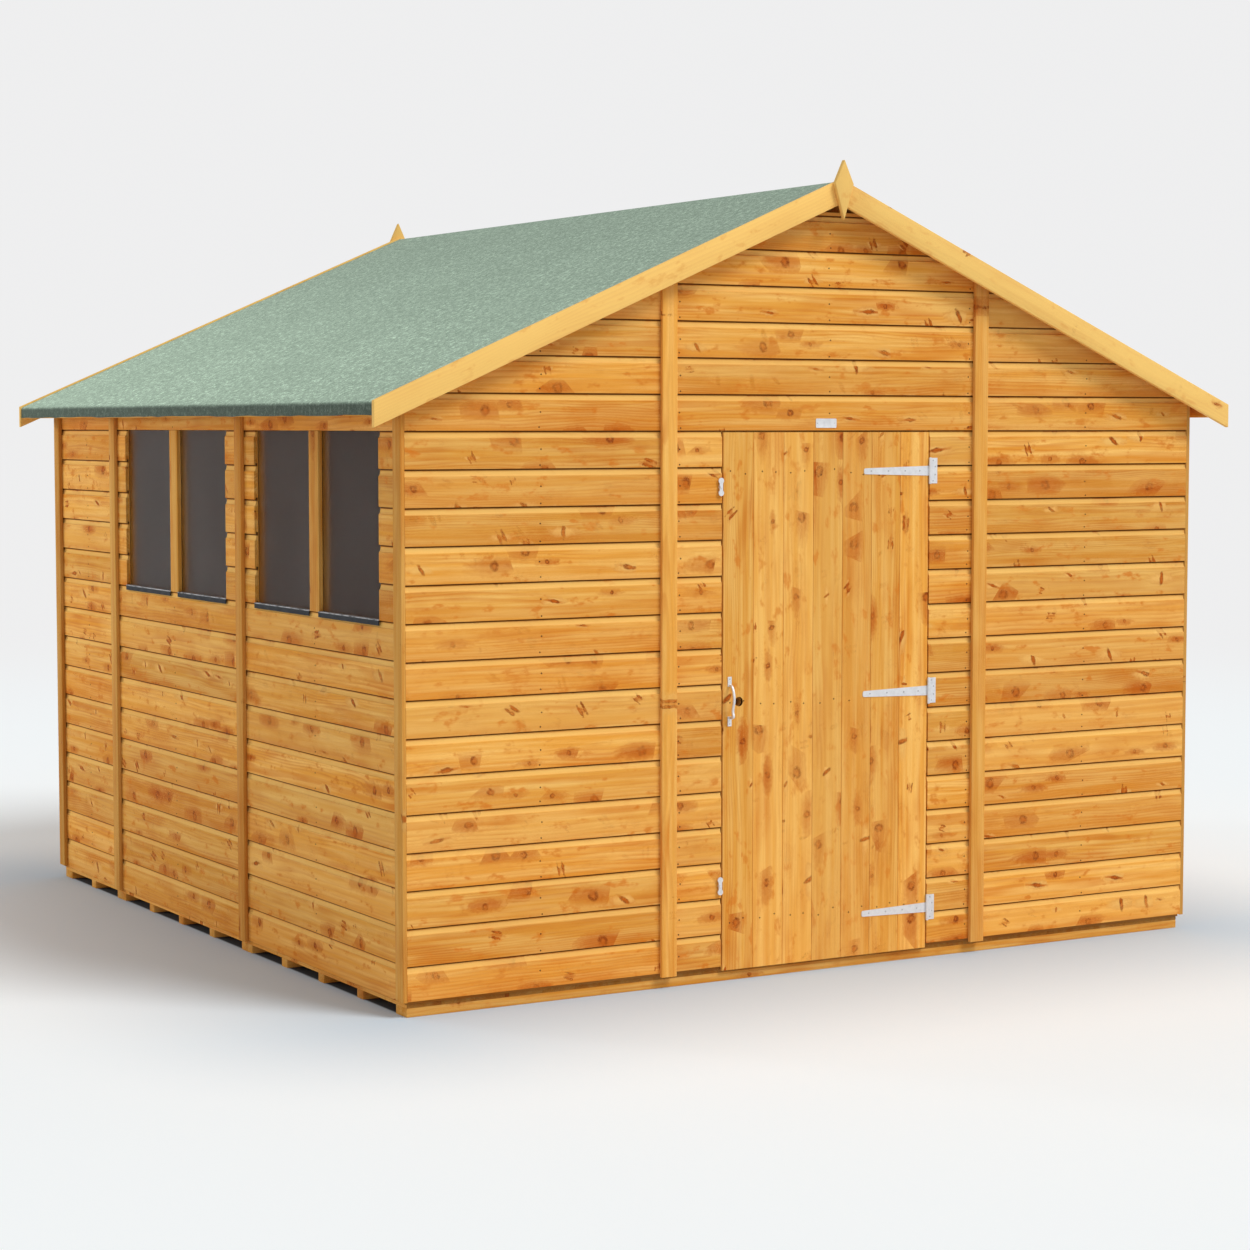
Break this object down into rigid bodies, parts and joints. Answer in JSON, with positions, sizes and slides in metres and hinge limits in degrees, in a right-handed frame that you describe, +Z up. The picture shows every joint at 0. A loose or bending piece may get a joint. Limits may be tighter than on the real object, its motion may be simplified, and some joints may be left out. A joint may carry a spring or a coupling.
{
  "type": "wooden garden shed",
  "caption": "Apex garden shed of horizontally boarded panels on a bearer floor, with a felted roof, side windows and a ledged and braced door on strap hinges.",
  "frame": {"origin": "centre of the bounding box on the ground plane", "axes": "+Z up, -Y out of the front gable with the door, -X out of the window wall"},
  "size_m": [3.248, 3.236, 2.584],
  "materials": {
    "cladding": "dip-treated softwood, satin",
    "framing": "planed softwood, matt",
    "trim": "dip-treated softwood, satin",
    "roofing_felt": "mineral-faced felt, rough",
    "glazing": "clear sheet",
    "drip_strip": "dark grey, satin",
    "zinc": "bright zinc plate"
  },
  "bodies": {
    "shed": {"front_side_cladding": "cladding", "door_side_cladding": "cladding", "over_door_cladding": "cladding", "back_cladding": "cladding", "left_cladding": "cladding", "window_side_cladding": "cladding", "window_head_boards": "cladding", "right_cladding": "cladding", "floor_bearers": "framing", "floor_panels": "framing", "front_studs": "framing", "front_rails": "framing", "back_studs": "framing", "back_rails": "framing", "left_studs": "framing", "left_rails": "framing", "right_studs": "framing", "right_rails": "framing", "roof_boards_left": "framing", "roof_boards_right": "framing", "eaves_rails": "framing", "roof_purlins": "framing", "truss_rafters_left": "framing", "truss_rafters_right": "framing", "truss_ties": "framing", "cover_battens": "trim", "corner_strips": "trim", "left_bargeboards": "trim", "right_bargeboards": "trim", "finials": "trim", "window_mullions": "trim", "roof_felt": "roofing_felt", "window_panes": "glazing", "window_drips": "drip_strip", "hinge_plates": "zinc", "hinge_pins": "zinc", "turn_button_screws": "zinc"},
    "door": {"door_leaf": "cladding", "door_ledges": "framing", "door_braces": "framing", "hinge_straps": "zinc", "door_handle": "zinc"},
    "upper_turn_button": {"upper_turn_button": "zinc"},
    "lower_turn_button": {"lower_turn_button": "zinc"}
  },
  "joints": [
    {"name": "door_hinge", "type": "hinge", "parent": "shed", "child": "door", "pos_m": [0.398, -1.54, 0.887], "axis": [0, 0, 1], "range_deg": [0, 165]},
    {"name": "upper_button_pivot", "type": "hinge", "parent": "shed", "child": "upper_turn_button", "pos_m": [-0.408, -1.5424, 1.5615], "axis": [0, 1, 0], "range_deg": [0, 90]},
    {"name": "lower_button_pivot", "type": "hinge", "parent": "shed", "child": "lower_turn_button", "pos_m": [-0.408, -1.5424, 0.3072], "axis": [0, 1, 0], "range_deg": [0, 90]}
  ]
}
